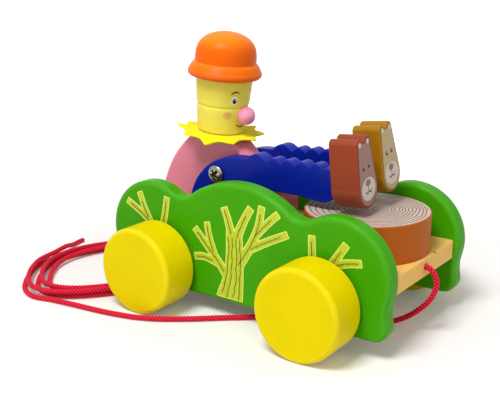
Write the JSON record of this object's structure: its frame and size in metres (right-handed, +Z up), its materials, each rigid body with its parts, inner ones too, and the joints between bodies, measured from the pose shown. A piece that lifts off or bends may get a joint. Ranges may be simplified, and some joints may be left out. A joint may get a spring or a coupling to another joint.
{
  "type": "musical pull cart",
  "caption": "Painted wooden pull-along cart: a seated peg figure in a bowler hat drums on a tree stump with bear-headed mallet arms tripped by cams on the rear axle; red pull rope.",
  "frame": {"origin": "on the floor under the middle of the cart, midway between the axles", "axes": "+X forward, the way the cart is pulled; +Y to the cart's left; +Z up"},
  "size_m": [0.2709, 0.1657, 0.1539],
  "materials": {
    "green_paint": "gloss",
    "yellow_paint": "gloss",
    "pink_paint": "satin",
    "nose_paint": "gloss",
    "blue_paint": "gloss",
    "orange_paint": "gloss",
    "straw_paint": "satin",
    "brown_paint": "satin",
    "gold_paint": "satin",
    "bark_paint": "satin",
    "bare_wood": "matte",
    "felt": "matte",
    "rope": "matte",
    "steel": "bright"
  },
  "bodies": {
    "chassis": {"right_side_panel": "green_paint", "left_side_panel": "green_paint", "deck_board": "bare_wood", "deck_dowels": "bare_wood", "stump_drum": "bark_paint", "stump_screws": "steel", "body_board": "pink_paint", "body_screws": "steel", "neck_dowel": "bare_wood", "collar": "felt", "head": "straw_paint", "nose": "nose_paint", "hat": "orange_paint", "arm_screws": "steel", "rope_knot": "rope", "rope_run": "rope", "rope_hank": "rope", "rope_tail": "rope"},
    "right_arm": {"right_arm": "blue_paint", "right_mallet_head": "brown_paint", "right_wrist_dowel": "bare_wood"},
    "left_arm": {"left_arm": "blue_paint", "left_mallet_head": "gold_paint", "left_wrist_dowel": "bare_wood"},
    "front_wheelset": {"front_right_wheel": "yellow_paint", "front_left_wheel": "yellow_paint", "front_axle": "bare_wood"},
    "rear_wheelset": {"rear_right_wheel": "yellow_paint", "rear_left_wheel": "yellow_paint", "rear_axle": "bare_wood", "right_trip_cam": "bare_wood", "left_trip_cam": "bare_wood"}
  },
  "joints": [
    {"name": "right_arm_beat", "type": "hinge", "parent": "chassis", "child": "right_arm", "pos_m": [-0.0363, 0, 0.0736], "axis": [0, -1, 0], "range_deg": [-2, 10]},
    {"name": "left_arm_beat", "type": "hinge", "parent": "chassis", "child": "left_arm", "pos_m": [-0.0363, 0, 0.0736], "axis": [0, -1, 0], "range_deg": [-4, 8]},
    {"name": "front_wheels_roll", "type": "hinge", "parent": "chassis", "child": "front_wheelset", "pos_m": [0.0535, 0, 0.025], "axis": [0, 1, 0], "continuous": true},
    {"name": "rear_wheels_roll", "type": "hinge", "parent": "chassis", "child": "rear_wheelset", "pos_m": [-0.0535, 0, 0.025], "axis": [0, 1, 0], "continuous": true}
  ]
}
